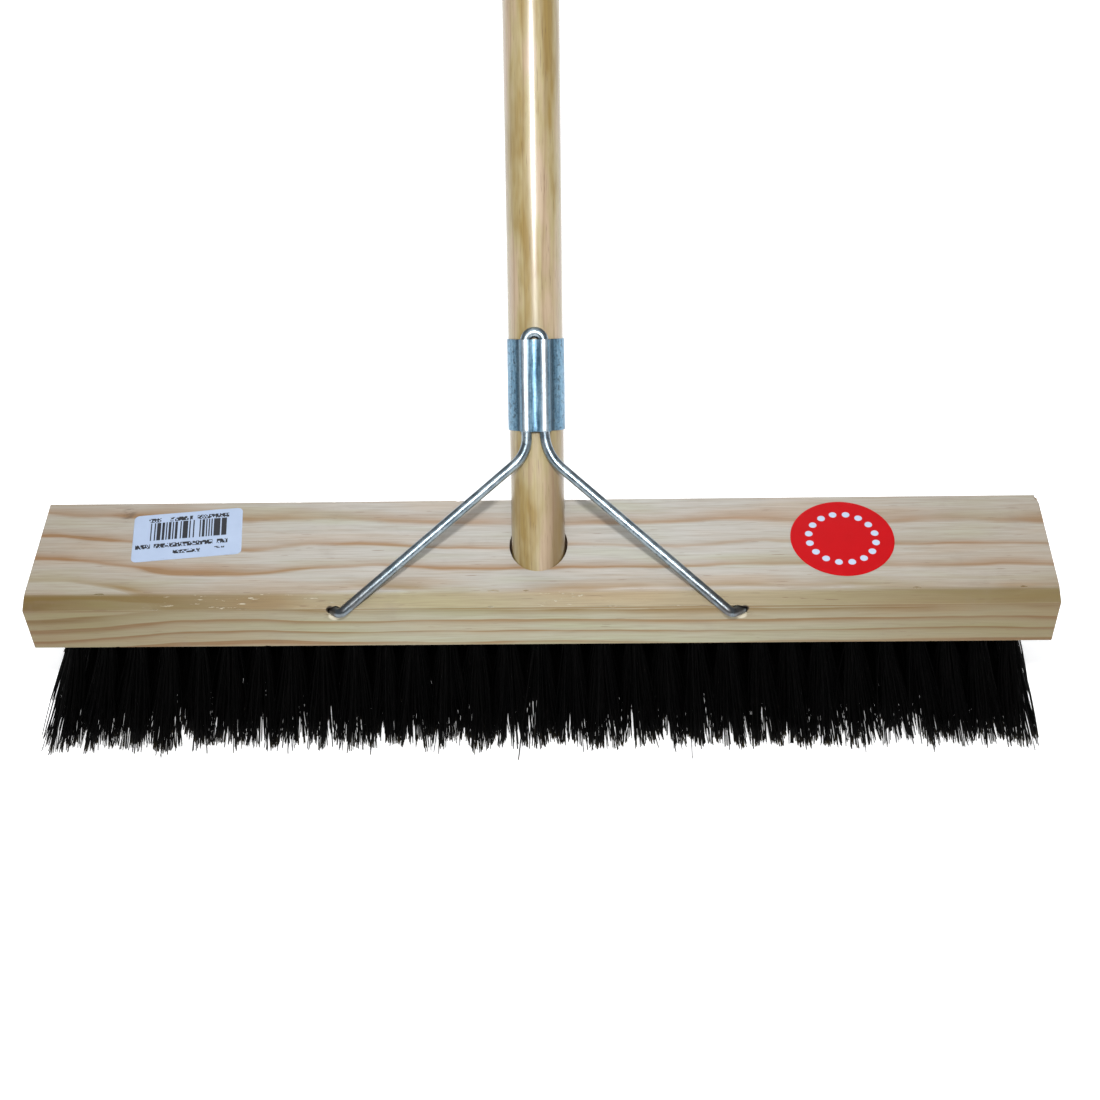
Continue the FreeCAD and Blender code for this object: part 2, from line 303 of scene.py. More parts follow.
def pine_rings(s, place, fade, front):
    """Pine's late wood and its ring numbers: uneven rings, which bow to the front on the left."""
    x, y, z = s.split(place)
    slow = s.math("SUBTRACT", s.noise(place, (0.006, 0.016, 0.016), detail=1.0), 0.5)
    quick = s.math("SUBTRACT", s.noise(place, (0.026, 0.09, 0.09)), 0.5)
    swing = s.math("MULTIPLY", s.rise(x, -60.0, -240.0), 3.2)
    wander = s.math("MULTIPLY_ADD", slow, 7.0, s.math("MULTIPLY_ADD", quick, 2.2, swing))
    arch = s.all_of(s.inside(x, -145.0, 42.0, 34.0), s.rise(y, 22.0, -18.0, 0.25, 1.0))
    wander = s.math("SUBTRACT", wander, s.math("MULTIPLY_ADD", arch, 4.2, 0.5))
    late, ring = growth_rings(s, place, (93.0, -99.0), 5.9, wander)

    strength = s.math("MULTIPLY_ADD", s.chance(ring), 0.4, s.rise(fade, 0.35, 0.62, 0.25, 0.75))
    strength = s.math("MULTIPLY", strength, s.math("MULTIPLY_ADD", front, 0.5, 1.0))
    breadth = s.math("MULTIPLY_ADD", s.chance(s.math("ADD", ring, 0.3)), 1.1, 0.45)
    late = s.math("POWER", late, breadth)
    late = s.all_of(late, strength, s.rise(x, -20.0, -120.0, 0.95, 1.3))
    # a darker line just under the bevel's lower edge, in front
    under_edge_line = s.all_of(s.inside(z, 96.2, 0.5, 0.5), s.rise(fade, 0.3, 0.5, 0.55, 1.0), front)
    return s.math("MAXIMUM", late, under_edge_line), ring


def pine_early_wood(s, place, bevel, front):
    """The wood between the rings, rosy or greenish in patches, with painted light: paler in the middle and
    darker towards the ends, painted shade on the bevel, and in front a yellower edge grain darkened by
    painted shade.
    """
    ends = s.rise(s.math("ABSOLUTE", s.split(place)[0]), 30.0, 230.0)
    # painted light: paler in the middle, darker towards the ends
    early = s.mix(ends, srgb(184, 182, 176), srgb(170, 163, 151))
    # painted shade: the bevel darker and yellower than the top
    early = s.mix(bevel, early, s.mix(ends, srgb(166, 155, 128), srgb(120, 106, 69)))
    # in front: yellower edge grain, and darker as painted shade
    early = s.mix(front, early, s.mix(ends, srgb(162, 160, 140), srgb(135, 124, 95)))
    patches = s.noise(place, (0.012, 0.07, 0.07))
    rosy = s.mix(1.0, early, (1.0, 0.89, 0.8, 1), "MULTIPLY")
    early = s.mix(s.rise(patches, 0.45, 0.68, 0.0, 0.75), early, rosy)
    greenish = s.mix(1.0, early, (0.93, 0.96, 0.84, 1), "MULTIPLY")
    return s.mix(s.rise(patches, 0.5, 0.3, 0.0, 0.8), early, greenish)


def pine_marks(s, place, colour, rough, on_bevel):
    """The stain and torn grain on the bevel, and a scuff near the back edge: (colour, share torn)."""
    x, y, _ = s.split(place)
    stain = s.noise(place, (0.016, 0.25, 0.25), detail=3.0)
    stain = s.all_of(s.rise(stain, 0.42, 0.56), on_bevel, s.rise(x, -140.0, -190.0))
    colour = s.paint(colour, srgb(112, 90, 44), stain, 0.7)
    torn_part = s.math("MAXIMUM", s.inside(x, -120.0, 42.0, 25.0), s.inside(x, 22.0, 22.0, 12.0))
    torn = s.all_of(s.rise(rough, 0.6, 0.66), on_bevel, torn_part)
    colour = s.paint(colour, TORN_PINE, torn, 0.75)
    scuff = s.all_of(s.inside(x, -189.0, 2.5, 2.0), s.inside(y, 25.0, 4.5, 2.5), s.rise(rough, 0.42, 0.55))
    return s.paint(colour, srgb(92, 78, 64), scuff, 0.6), torn


def pine_openings(s, place, colour, rough):
    """Painted shade on the walls of the socket and inside the brace holes, with frayed pale wood under the
    holes.
    """
    side, out, _ = s.split(s.millimetres(turn=(-TILT, 0, 0), origin=tuple(on_handle(0, SOCKET_OFFSET))))
    socket = s.rise(s.length(side, out), 13.55, 13.25)
    # painted shade on the socket's wall
    wall = s.all_of(socket, s.inside(s.split(place)[2], 90.0, 9.8, 0.15))
    colour = s.paint(colour, srgb(58, 38, 24), wall, 0.85)
    for arm in ARMS:
        mouth = foot_mouth(arm) / MM
        dark = mouth + Vector((arm["sign"] * 2.3, 0, 0.9))
        pale = mouth + Vector((arm["sign"] * 1.0, 0, -3.2))
        frayed = s.all_of(s.rise(s.distance(place, pale), 3.0, 1.8), s.rise(rough, 0.42, 0.5))
        colour = s.paint(colour, TORN_PINE, frayed, 0.7)
        # painted shade in the mouth of each brace hole
        colour = s.mix(s.rise(s.distance(place, dark), 2.3, 1.5, 0.0, 0.95), colour, srgb(34, 24, 16))
    return colour


def pine():
    """Planed, unfinished pine: rings, fine fibres, resin ducts, grime and some torn grain."""
    s = Shader("planed_pine", roughness=0.62, Specular_IOR_Level=0.3)
    place = s.millimetres()
    normal = s.split(s.new("NewGeometry").outputs["True Normal"])
    facing = s.math("ABSOLUTE", normal[1])
    bevel, front = s.rise(facing, 0.1, 0.36), s.rise(facing, 0.5, 0.9)
    fade = s.noise(place, (0.014, 0.05, 0.05))
    late, ring = pine_rings(s, place, fade, front)
    early = pine_early_wood(s, place, bevel, front)
    tint = s.mix(s.chance(s.math("ADD", ring, 0.5)), (0.72, 0.47, 0.31, 1), (0.6, 0.43, 0.2, 1))
    colour = s.mix(late, early, s.mix(1.0, early, tint, "MULTIPLY"))

    streaks = s.noise(place, (0.02, 0.5, 0.5), detail=3.0, roughness=0.65)
    colour = s.mix(s.rise(streaks, 0.36, 0.56, 0.2, 0.0), colour, srgb(134, 116, 88))
    fibres = s.noise(place, (0.05, 1.9, 1.9), roughness=0.6)
    colour = s.mix(s.rise(fibres, 0.34, 0.6, 0.2, 0.0), colour, srgb(112, 92, 68))
    ducts = s.rise(s.noise(place, (0.09, 1.5, 1.5), detail=1.0), 0.7, 0.76)
    colour = s.paint(colour, srgb(112, 84, 66), ducts, 0.55)
    grime = s.rise(s.noise(place, scale=0.045, detail=5.0, roughness=0.65), 0.56, 0.78, 0.0, 0.22)
    colour = s.mix(grime, colour, srgb(128, 116, 104))

    rough = s.noise(place, (0.12, 0.6, 0.6), detail=4.0, roughness=0.7)
    on_bevel = s.all_of(bevel, s.math("SUBTRACT", 1.0, front), s.rise(s.split(place)[1], -22.0, -24.0))
    colour, torn = pine_marks(s, place, colour, rough, on_bevel)
    end = s.rise(s.math("ABSOLUTE", normal[0]), 0.7, 0.9)
    colour = s.paint(colour, srgb(140, 112, 78), end, 0.4)
    colour = pine_openings(s, place, colour, rough)

    s.set(Base_Color=colour, Roughness=s.rise(late, 0.0, 1.0, 0.66, 0.5))
    s.bump(fibres, 0.06, 0.5)
    s.bump(streaks, 0.08, 0.5)
    s.bump(late, 0.08, 0.6)
    s.bump(torn, 0.35, 0.7)
    return s.material


def varnished_wood():
    """A turned dowel under clear varnish: straight fine grain, golden patches, and a thin glossy coat."""
    s = Shader("varnished_dowel", roughness=0.5, Coat_Weight=1.0, Coat_Roughness=0.2, Coat_IOR=1.68)
    side, forward, along = s.split(s.millimetres(turn=(-TILT, 0, 0), origin=tuple(HANDLE_CROSSING)))
    place = s.new("CombineXYZ", along, side, forward).outputs[0]  # the first axis runs along the dowel
    wander = s.math("MULTIPLY", s.noise(place, (0.005, 0.03, 0.03)), 14.0)
    late, ring = growth_rings(s, place, (34.0, -41.0), 3.1, wander)
    late = s.math("MULTIPLY", late, s.math("MULTIPLY_ADD", s.chance(ring), 0.3, 0.1))
    patches = s.noise(place, (0.02, 0.09, 0.09), detail=3.0, roughness=0.6)
    golden, straw, rosy = srgb(150, 126, 68), srgb(172, 157, 114), srgb(184, 162, 134)
    early = s.ramp(patches, (0.36, golden), (0.5, straw), (0.62, rosy))
    colour = s.mix(late, early, srgb(122, 92, 48))
    streaks = s.noise(place, (0.03, 0.8, 0.8), detail=3.0, roughness=0.65)
    colour = s.mix(s.rise(streaks, 0.32, 0.6, 0.24, 0.0), colour, srgb(120, 94, 54))
    pores = s.rise(s.noise(place, (0.12, 2.2, 2.2), detail=1.0), 0.64, 0.74)
    colour = s.paint(colour, srgb(92, 66, 38), pores, 0.4)
    # darker towards the foot on the right side
    low_right = s.all_of(s.rise(along, 62.0, 20.0), s.rise(side, 1.0, 9.0))
    darker_low_right = s.all_of(low_right, s.rise(patches, 0.3, 0.5, 0.35, 0.6))
    colour = s.mix(darker_low_right, colour, srgb(112, 84, 52))
    s.set(Base_Color=colour)
    s.bump(streaks, 0.05, 0.4)
    s.bump(s.noise(place, (0.03, 0.22, 0.22)), 0.16, 0.5)
    return s.material


def drawn_wire():
    """Zinc-plated wire, drawn lengthwise, dull and brownish low down where it was bent into the wood."""
    s = Shader("zinc_plated_wire", roughness=0.3, Metallic=1.0)
    place = s.millimetres()
    cloud = s.noise(place, scale=0.22, detail=4.0)
    colour = s.mix(s.rise(cloud, 0.36, 0.64), srgb(134, 150, 160), srgb(164, 178, 186))
    specks = s.rise(s.noise(place, scale=1.1, detail=3.0), 0.56, 0.7)
    colour = s.paint(colour, srgb(74, 82, 88), specks, 0.7)
    low = s.rise(s.split(place)[2], 118.0, 96.0)
    tarnish = s.math("MULTIPLY", low, s.rise(cloud, 0.3, 0.55, 0.5, 1.0))
    colour = s.paint(colour, srgb(84, 78, 74), tarnish, 0.85)
    s.set(Base_Color=colour, Roughness=s.rise(cloud, 0.3, 0.7, 0.28, 0.42))
    s.bump(s.noise(place, scale=1.6), 0.04, 0.5)
    s.bump(cloud, 0.2, 0.4)
    return s.material


def galvanised_sheet():
    """Galvanised sheet: small bluish crystals, rolled lengthwise, with dull patches, painted shade in the
    folds beside the bulge and painted highlights on the ridges over the wires.
    """
    s = Shader("galvanised_steel", roughness=0.42, Metallic=1.0)
    place = s.millimetres(turn=(-TILT, 0, 0), origin=tuple(HANDLE_CROSSING))
    side, inwards, _ = s.split(place)
    side = s.math("ABSOLUTE", side)
    crystals = s.new("TexVoronoi")
    s.fill(crystals, Vector=place, Scale=1.0)
    shade = s.split(crystals.outputs["Color"])[0]
    rolled = s.noise(place, (1.1, 1.1, 0.07), detail=3.0, roughness=0.6)
    shade = s.math("MULTIPLY_ADD", shade, 0.35, s.rise(rolled, 0.32, 0.68, 0.0, 0.65))
    colour = s.ramp(shade, (0.0, srgb(88, 124, 150)), (0.5, srgb(122, 162, 188)), (1.0, srgb(158, 192, 212)))
    # painted shade in the creases where the sheet turns back onto the handle
    fold_shade = s.inside(side, 7.3, 0.9, 0.5)
    colour = s.paint(colour, srgb(50, 66, 76), fold_shade, 0.7)
    # painted highlight: the ridges over the two wires near white
    ridge = s.all_of(s.inside(side, 4.2, 1.2, 0.9), s.rise(inwards, -15.0, -16.4))
    colour = s.paint(colour, srgb(226, 234, 238), ridge, 0.85)
    dull = s.rise(s.noise(place, scale=0.5, detail=5.0, roughness=0.7), 0.5, 0.64)
    dull = s.math("MULTIPLY", dull, s.rise(side, 5.0, 8.0, 0.25, 0.8))
    colour = s.mix(dull, colour, srgb(72, 90, 102))
    s.set(Base_Color=colour, Roughness=s.rise(rolled, 0.3, 0.7, 0.36, 0.5))
    s.bump(s.noise(place, scale=1.4, detail=3.0), 0.03, 0.5)
    s.bump(s.noise(place, scale=0.2, detail=1.0), 0.2, 0.4)
    return s.material


def nail_steel(name, colour):
    s = Shader(name, roughness=0.4, Metallic=1.0)
    place = s.millimetres()
    cloud = s.noise(place, scale=0.8, detail=4.0)
    colour = s.mix(s.rise(cloud, 0.4, 0.65), colour, srgb(92, 86, 80))
    s.set(Base_Color=colour, Roughness=s.rise(cloud, 0.3, 0.7, 0.3, 0.55))
    s.bump(cloud, 0.06, 0.5)
    return s.material


def black_fibre():
    """Stiff black-dyed fibre: each strand a little different, with painted olive-brown glints near the
    trimmed tips.
    """
    s = Shader("black_fibre", roughness=0.65, Specular_IOR_Level=0.03)
    place = s.millimetres()
    strand = s.noise(place, (1.1, 1.1, 0.012))
    colour = s.mix(s.rise(strand, 0.4, 0.7), srgb(0.4, 0.4, 0.4), srgb(4, 3, 3))
    # painted highlight: olive-brown glints on some strands near their tips
    tip = s.rise(s.split(place)[2], 8.0, 0.5)
    share = s.math("MULTIPLY", tip, s.rise(strand, 0.47, 0.62))
    colour = s.paint(colour, srgb(84, 74, 48), share, 0.8)
    s.set(Base_Color=colour)
    s.bump(s.noise(place, (3.0, 3.0, 0.6)), 0.03, 0.5)
    return s.material


def printed_marks(s, x, y, row_y, half_height, from_x, to_x, pitch, share, seed):
    """A row of meaningless small marks where a line of print would be."""
    column = s.math("FLOOR", s.math("MULTIPLY", x, 1 / pitch))
    line = s.math("FLOOR", s.math("MULTIPLY", s.math("SUBTRACT", y, row_y), 1.5 / half_height))
    cell = s.math("MULTIPLY_ADD", line, 91.0, s.math("ADD", column, seed))
    inked = s.math("LESS_THAN", s.chance(cell), share)
    word = s.math("FLOOR", s.math("MULTIPLY_ADD", x, 0.3 / pitch, seed))
    no_gap = s.math("GREATER_THAN", s.chance(word), 0.14)
    row = s.inside(y, row_y, half_height)
    run = s.inside(x, (from_x + to_x) / 2, (to_x - from_x) / 2)
    return s.all_of(inked, row, run, no_gap)


def label_paper():
    """White paper with a block of blank bars and rows of meaningless marks, and no lettering."""
    s = Shader("label_paper", roughness=0.42, Specular_IOR_Level=0.4)
    place = s.millimetres(turn=(0, 0, LABEL_TURN), origin=(LABEL_CENTRE.x, LABEL_CENTRE.y, 0))
    x, y, _ = s.split(place)
    bar = s.math("LESS_THAN", s.chance(s.math("FLOOR", s.math("MULTIPLY", x, 1.7))), 0.52)
    ink = s.all_of(bar, s.inside(y, 3.6, 5.6), s.inside(x, 0.6, 17.6))
    rows = (  # middle, half height, from, to, width of a mark, share inked and seed
        (10.9, 1.3, -18.0, 20.5, 0.62, 0.62, 3.0),
        (-5.6, 1.35, -23.5, 20.5, 0.5, 0.66, 170.0),
        (-10.2, 1.1, -7.5, 6.0, 0.62, 0.7, 310.0),
        (-9.4, 0.6, 12.5, 17.0, 0.5, 0.6, 430.0),
    )
    for row in rows:
        ink = s.math("MAXIMUM", ink, printed_marks(s, x, y, *row))
    paper = s.mix(s.noise(place, scale=0.12, detail=3.0), srgb(176, 192, 216), srgb(162, 178, 204))
    s.set(Base_Color=s.mix(ink, paper, srgb(26, 28, 36)))
    s.bump(s.noise(place, scale=0.35), 0.05, 0.4)
    return s.material


def sticker_vinyl():
    """A glossy red disc with a ring of pale dots and no lettering."""
    s = Shader("sticker_vinyl", roughness=0.42, Specular_IOR_Level=0.08)
    place = s.millimetres(origin=(STICKER_CENTRE.x, STICKER_CENTRE.y, 0))
    x, y, _ = s.split(place)
    radius = s.length(x, y)
    turn = s.math("MULTIPLY", s.math("ARCTAN2", y, x), DOTS / (2 * math.pi))
    along = s.math("MULTIPLY", s.math("SUBTRACT", s.math("FRACT", turn), 0.5), 2 * math.pi * DOT_RING / DOTS)
    from_dot = s.length(along, s.math("SUBTRACT", radius, DOT_RING))
    dot = s.rise(from_dot, DOT_RADIUS + 0.1, DOT_RADIUS - 0.1)
    red = s.mix(s.noise(place, scale=0.1, detail=3.0), srgb(190, 2, 14), srgb(176, 2, 10))
    s.set(Base_Color=s.mix(dot, red, srgb(184, 196, 216)))
    s.bump(s.noise(place, scale=0.16), 0.08, 0.4)
    return s.material


def pale_floor():
    s = Shader("pale_floor", roughness=0.8, Specular_IOR_Level=0.15)
    place = s.millimetres()
    cloud = s.noise(place, scale=0.004)
    s.set(Base_Color=s.mix(cloud, (0.93, 0.93, 0.93, 1), (0.9, 0.9, 0.9, 1)))
    s.set(Emission_Color=(1, 1, 1, 1), Emission_Strength=0.53)  # lit a little from below, like a light table
    return s.material


# ---- mesh helpers ----
def mesh_of(name, vertices, faces, smooth=False):
    mesh = bpy.data.meshes.new(name)
    mesh.from_pydata([tuple(v) for v in vertices], [], faces)
    mesh.polygons.foreach_set("use_smooth", [smooth] * len(mesh.polygons))
    mesh.update()
    return mesh


def smooth_mesh(name, vertices, faces, sharp):
    """A mesh shaded smooth but for edges sharper than so many degrees."""
    mesh = mesh_of(name, vertices, faces, smooth=True)
    mesh.set_sharp_from_angle(angle=math.radians(sharp))
    return mesh


def show(name, mesh, material, slot, *nodes):
    """Links a piece into the scene, on the broom's one body, in place of its CAD nodes."""
    piece = bpy.data.objects.new(name, mesh)
    bpy.context.scene.collection.objects.link(piece)
    mesh.materials.append(material)
    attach(piece, "root")
    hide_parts(*nodes)
    return piece


def skin(rings, closed=True):
    """Vertices and faces of a surface through rings of equal length, with a face across each end."""
    count = len(rings[0])
    vertices = [point for ring in rings for point in ring]
    faces = []
    for r in range(len(rings) - 1):
        for i in range(count):
            j = (i + 1) % count
            faces.append((r * count + i, r * count + j, (r + 1) * count + j, (r + 1) * count + i))
    if closed:
        last = (len(rings) - 1) * count
        faces.append(tuple(reversed(range(count))))
        faces.append(tuple(range(last, last + count)))
    return vertices, faces


def circle(centre, normal, radius, sides, start=None):
    """Points round a circle, counter-clockwise seen against normal."""
    first = (start or normal.orthogonal()).normalized()
    second = normal.cross(first).normalized()
    turns = [2 * math.pi * i / sides for i in range(sides)]
    return [centre + (first * math.cos(a) + second * math.sin(a)) * radius for a in turns]


def lathe(start, axis, profile, sides):
    """A turned form: profile holds (distance along the axis, radius)."""
    return skin([circle(start + axis * d, axis, r, sides) for d, r in profile])


def sweep(points, radii, sides):
    """A tube along points, its rings turned as little as possible from one to the next."""
    rings = []
    normal = (points[1] - points[0]).normalized()
    start = normal.orthogonal()
    for i, point in enumerate(points):
        before, after = points[max(i - 1, 0)], points[min(i + 1, len(points) - 1)]
        direction = (after - before).normalized()
        start = (start - direction * start.dot(direction)).normalized()
        rings.append(circle(point, direction, radii[i], sides, start))
    return skin(rings)


def corner_arc(before, corner, after, radius, steps):
    """Points along the arc that rounds a corner."""
    back, ahead = (before - corner).normalized(), (after - corner).normalized()
    half = back.angle(ahead) / 2
    centre = corner + (back + ahead).normalized() * (radius / math.sin(half))
    first = corner + back * (radius / math.tan(half)) - centre
    last = corner + ahead * (radius / math.tan(half)) - centre
    turn = first.angle(last)
    points = []
    for i in range(steps + 1):
        t = i / steps
        spoke = first * math.sin((1 - t) * turn) + last * math.sin(t * turn)
        points.append(centre + spoke / math.sin(turn))
    return points


def straight(first, last, step):
    """Points between two ends, without the ends."""
    count = max(int((last - first).length / step), 1)
    return [first.lerp(last, i / count) for i in range(1, count)]


def joined(parts):
    """One list of vertices and faces from several."""
    vertices, faces = [], []
    for some_vertices, some_faces in parts:
        shift = len(vertices)
        vertices += some_vertices
        faces += [tuple(i + shift for i in face) for face in some_faces]
    return vertices, faces


def cut(mesh, cutter_parts):
    """The mesh with the cutters taken out of it. Each cutter is a closed (vertices, faces)."""
    target = bpy.data.objects.new("target", mesh)
    cutter_mesh = mesh_of("cutters", *joined(cutter_parts))
    cutter = bpy.data.objects.new("cutters", cutter_mesh)
    for each in (target, cutter):
        bpy.context.scene.collection.objects.link(each)
    modifier = target.modifiers.new("cut", "BOOLEAN")
    modifier.operation = "DIFFERENCE"
    modifier.solver = "EXACT"
    modifier.use_self = True
    modifier.object = cutter
    graph = bpy.context.evaluated_depsgraph_get()
    result = bpy.data.meshes.new_from_object(target.evaluated_get(graph))
    for each in (target, cutter):
        bpy.data.objects.remove(each)
    bpy.data.meshes.remove(cutter_mesh)
    return result


def rough_lump(centre, size, seed, turn=0.0):
    """A faceted, uneven lump: what is missing where wood has chipped."""
    built = bmesh.new()
    bmesh.ops.create_icosphere(built, subdivisions=3, radius=1.0)
    for vertex in built.verts:
        vertex.co *= 1 + 0.45 * noise.noise(vertex.co * 1.7 + Vector((seed, 0, 0)))
        vertex.co = Matrix.Rotation(turn, 3, "Z") @ Vector(a * b for a, b in zip(vertex.co, size)) + centre
    vertices = [v.co.copy() for v in built.verts]
    faces = [tuple(v.index for v in f.verts) for f in built.faces]
    built.free()
    return vertices, faces


# ---- stock ----
def stock_section(inset):
    """The stock's (y, z) outline, its corners eased, drawn in by inset."""
    front, back = STOCK_LOW.y + inset, STOCK_HIGH.y - inset
    low, high = STOCK_BOTTOM + inset, STOCK_TOP - inset
    corners = [
        (front, low, EDGE_ROUND),
        (back, low, EDGE_ROUND),
        (back, high, EDGE_ROUND),
        (front + BEVEL_IN, high, BEVEL_ROUND),
        (front, high - BEVEL_DOWN, EDGE_ROUND),
    ]
    places = [Vector((0, y, z)) for y, z, _ in corners]
    points = []
    for i, (_, _, radius) in enumerate(corners):
        points += corner_arc(places[i - 1], places[i], places[(i + 1) % len(places)], radius, 6)
    return points


def tail_line(arm):
    """The foot corner and the end of an arm's tail."""
    level = Vector((arm["sign"] * math.sin(arm["lean"]), math.cos(arm["lean"]), 0))
    direction = level * math.cos(TAIL_DIP) - Vector((0, 0, math.sin(TAIL_DIP)))
    return arm["foot"], arm["foot"] + direction * TAIL_LENGTH


def foot_mouth(arm):
    """Where an arm's tail goes into the stock's front face."""
    foot, tail = tail_line(arm)
    return foot.lerp(tail, (STOCK_LOW.y - foot.y) / (tail.y - foot.y))


def uneven_hole(start, axis, depth, radius, sides, wobble, seed):
    """A drilled hole whose wall wanders a little."""
    rings = []
    for d in np.linspace(0, depth, 12):
        centre = start + axis * d
        ring = []
        for p in circle(centre, axis, radius, sides):
            ring.append(centre + (p - centre) * (1 + wobble * noise.noise(p * 420 + Vector((seed, 0, 0)))))
        rings.append(ring)
    return skin(rings)


def tuft_row(row):
    """(x, y) of each hole in a row. Every second row has one tuft fewer and sits half a pitch over."""
    count = TUFTS_IN_FULL_ROW - row % 2
    y = (row - (TUFT_ROWS - 1) / 2) * TUFT_ROW_SPACING
    return [((i - (count - 1) / 2) * TUFT_PITCH, y) for i in range(count)]


def stock_holes():
    """The handle's socket, the brace's holes with the wire's bed in each mouth, and the tuft holes."""
    socket_floor = on_handle(HANDLE_FOOT, SOCKET_OFFSET)
    holes = [uneven_hole(socket_floor, ALONG, 50 * MM, SOCKET_RADIUS, 96, 0.012, 1)]
    for arm in ARMS:
        foot, tail = tail_line(arm)
        holes.append(uneven_hole(foot, (tail - foot).normalized(), 20 * MM, TAIL_HOLE_RADIUS, 40, 0.09, 5))
        bedded = [p for p in arm_points(arm) if p.z < STOCK_TOP + 8 * MM]
        holes.append(sweep(bedded, [WIRE_RADIUS + 0.08 * MM] * len(bedded), 24))
    tuft_hole = [(0, TUFT_HOLE_RADIUS), (TUFT_HOLE_DEPTH + MM, TUFT_HOLE_RADIUS)]
    for row in range(TUFT_ROWS):
        for x, y in tuft_row(row):
            holes.append(lathe(Vector((x, y, STOCK_BOTTOM - 1 * MM)), Vector((0, 0, 1)), tuft_hole, 20))
    return holes


def stock_chips(rng):
    """The broken back corner, the frayed mouths of the holes and small nicks along the edges."""
    corner = Vector((STOCK_HIGH.x, STOCK_HIGH.y, STOCK_TOP))
    chips = [rough_lump(corner + Vector((0.6, 0.2, 0.6)) * MM, (3.0 * MM, 5.2 * MM, 2.2 * MM), 3)]
    chips.append(rough_lump(on_handle(1 * MM, 10.0 * MM, -9.0 * MM), (5.0 * MM, 2.2 * MM, 1.3 * MM), 9, 0.75))
    for arm in ARMS:
        beside = Vector((arm["sign"] * 2.3, 0.2, 0.8)) * MM
        chips.append(rough_lump(foot_mouth(arm) + beside, (1.7 * MM, 1.8 * MM, 1.4 * MM), 14))
    edges = (
        (STOCK_LOW.y, STOCK_BOTTOM),
        (STOCK_LOW.y, STOCK_TOP - BEVEL_DOWN),
        (STOCK_LOW.y + BEVEL_IN, STOCK_TOP),
        (STOCK_HIGH.y, STOCK_TOP),
        (STOCK_HIGH.y, STOCK_BOTTOM),
    )
    for y, z in edges:
        for _ in range(5):
            x = rng.uniform(STOCK_LOW.x, STOCK_HIGH.x) * 0.97
            size = (rng.uniform(1.2, 3.2) * MM, rng.uniform(0.3, 0.7) * MM, rng.uniform(0.3, 0.7) * MM)
            chips.append(rough_lump(Vector((x, y, z)), size, rng.uniform(0, 99)))
    return chips


def splinter(base, direction, lift, length, width):
    """A torn sliver: a thin tapering strip that curls up from the wood."""
    across = direction.cross(lift).normalized()
    rings = []
    for i in range(6):
        t = i / 5
        centre = base + direction * (length * t) + lift * (length * 0.4 * t * t)
        half = across * (width / 2 * (1 - t) + 0.02 * MM)
        thick = lift * (width * 0.3 * (1 - t) + 0.02 * MM)
        rings.append([centre - half, centre - thick, centre + half, centre + thick])
    return skin(rings)


def splinters(rng):
    """Torn fibres under the mouths of the two brace holes."""
    made = []
    slope = Vector((0, -BEVEL_DOWN, BEVEL_IN)).normalized()
    for arm in ARMS:
        for _ in range(11):
            offset = Vector((arm["sign"] * rng.uniform(-1.5, 3.2), 0.2, rng.uniform(-3.6, -1.9))) * MM
            direction = Vector((arm["sign"], 0, rng.uniform(-0.5, 0.3))).normalized()
            size = rng.uniform(1.5, 3.6) * MM, rng.uniform(0.35, 0.8) * MM
            made.append(splinter(foot_mouth(arm) + offset, direction, slope, *size))
    return made


def make_stock():
    rounded = []  # along a rounded end edge: how far in from the end, and the inset there
    for i in range(5):
        angle = math.pi / 2 * i / 4
        rounded.append((EDGE_ROUND * (1 - math.cos(angle)), EDGE_ROUND * (1 - math.sin(angle))))
    stations = [(STOCK_LOW.x + along, inset) for along, inset in rounded]
    stations += [(STOCK_HIGH.x - along, inset) for along, inset in reversed(rounded)]
    rings = [[Vector((x, p.y, p.z)) for p in stock_section(inset)] for x, inset in stations]
    rng = random.Random(7)
    block = mesh_of("stock_block", *skin(rings))
    block = cut(block, stock_holes())
    block = cut(block, stock_chips(rng))
    built = bmesh.new()
    built.from_mesh(block)
    built.from_mesh(mesh_of("splinters", *joined(splinters(rng))))
    built.to_mesh(block)
    built.free()
    show("pine_stock", block, pine(), "pine", "stock")


# ---- handle ----
def make_handle():
    profile = []
    for along in np.linspace(HANDLE_FOOT, HANDLE_TAPER_END, 14):
        profile.append((along, HANDLE_FOOT_RADIUS + TAPER * (along - HANDLE_FOOT)))
    profile[0] = (HANDLE_FOOT, HANDLE_FOOT_RADIUS - 0.6 * MM)
    profile.insert(1, (HANDLE_FOOT + 0.6 * MM, HANDLE_FOOT_RADIUS))
    for along in np.linspace(HANDLE_TAPER_END, HANDLE_END - HANDLE_TOP_ROUND, 100)[1:]:
        profile.append((along, HANDLE_RADIUS))
    for i in range(1, 13):
        angle = math.pi / 2 * i / 12
        along = HANDLE_END - HANDLE_TOP_ROUND * (1 - math.sin(angle))
        profile.append((along, HANDLE_RADIUS - HANDLE_TOP_ROUND * (1 - math.cos(angle))))
    mesh = smooth_mesh("handle_dowel", *lathe(HANDLE_CROSSING, ALONG, profile, 96), sharp=40)
    show("handle_dowel", mesh, varnished_wood(), "varnished_wood", "handle")


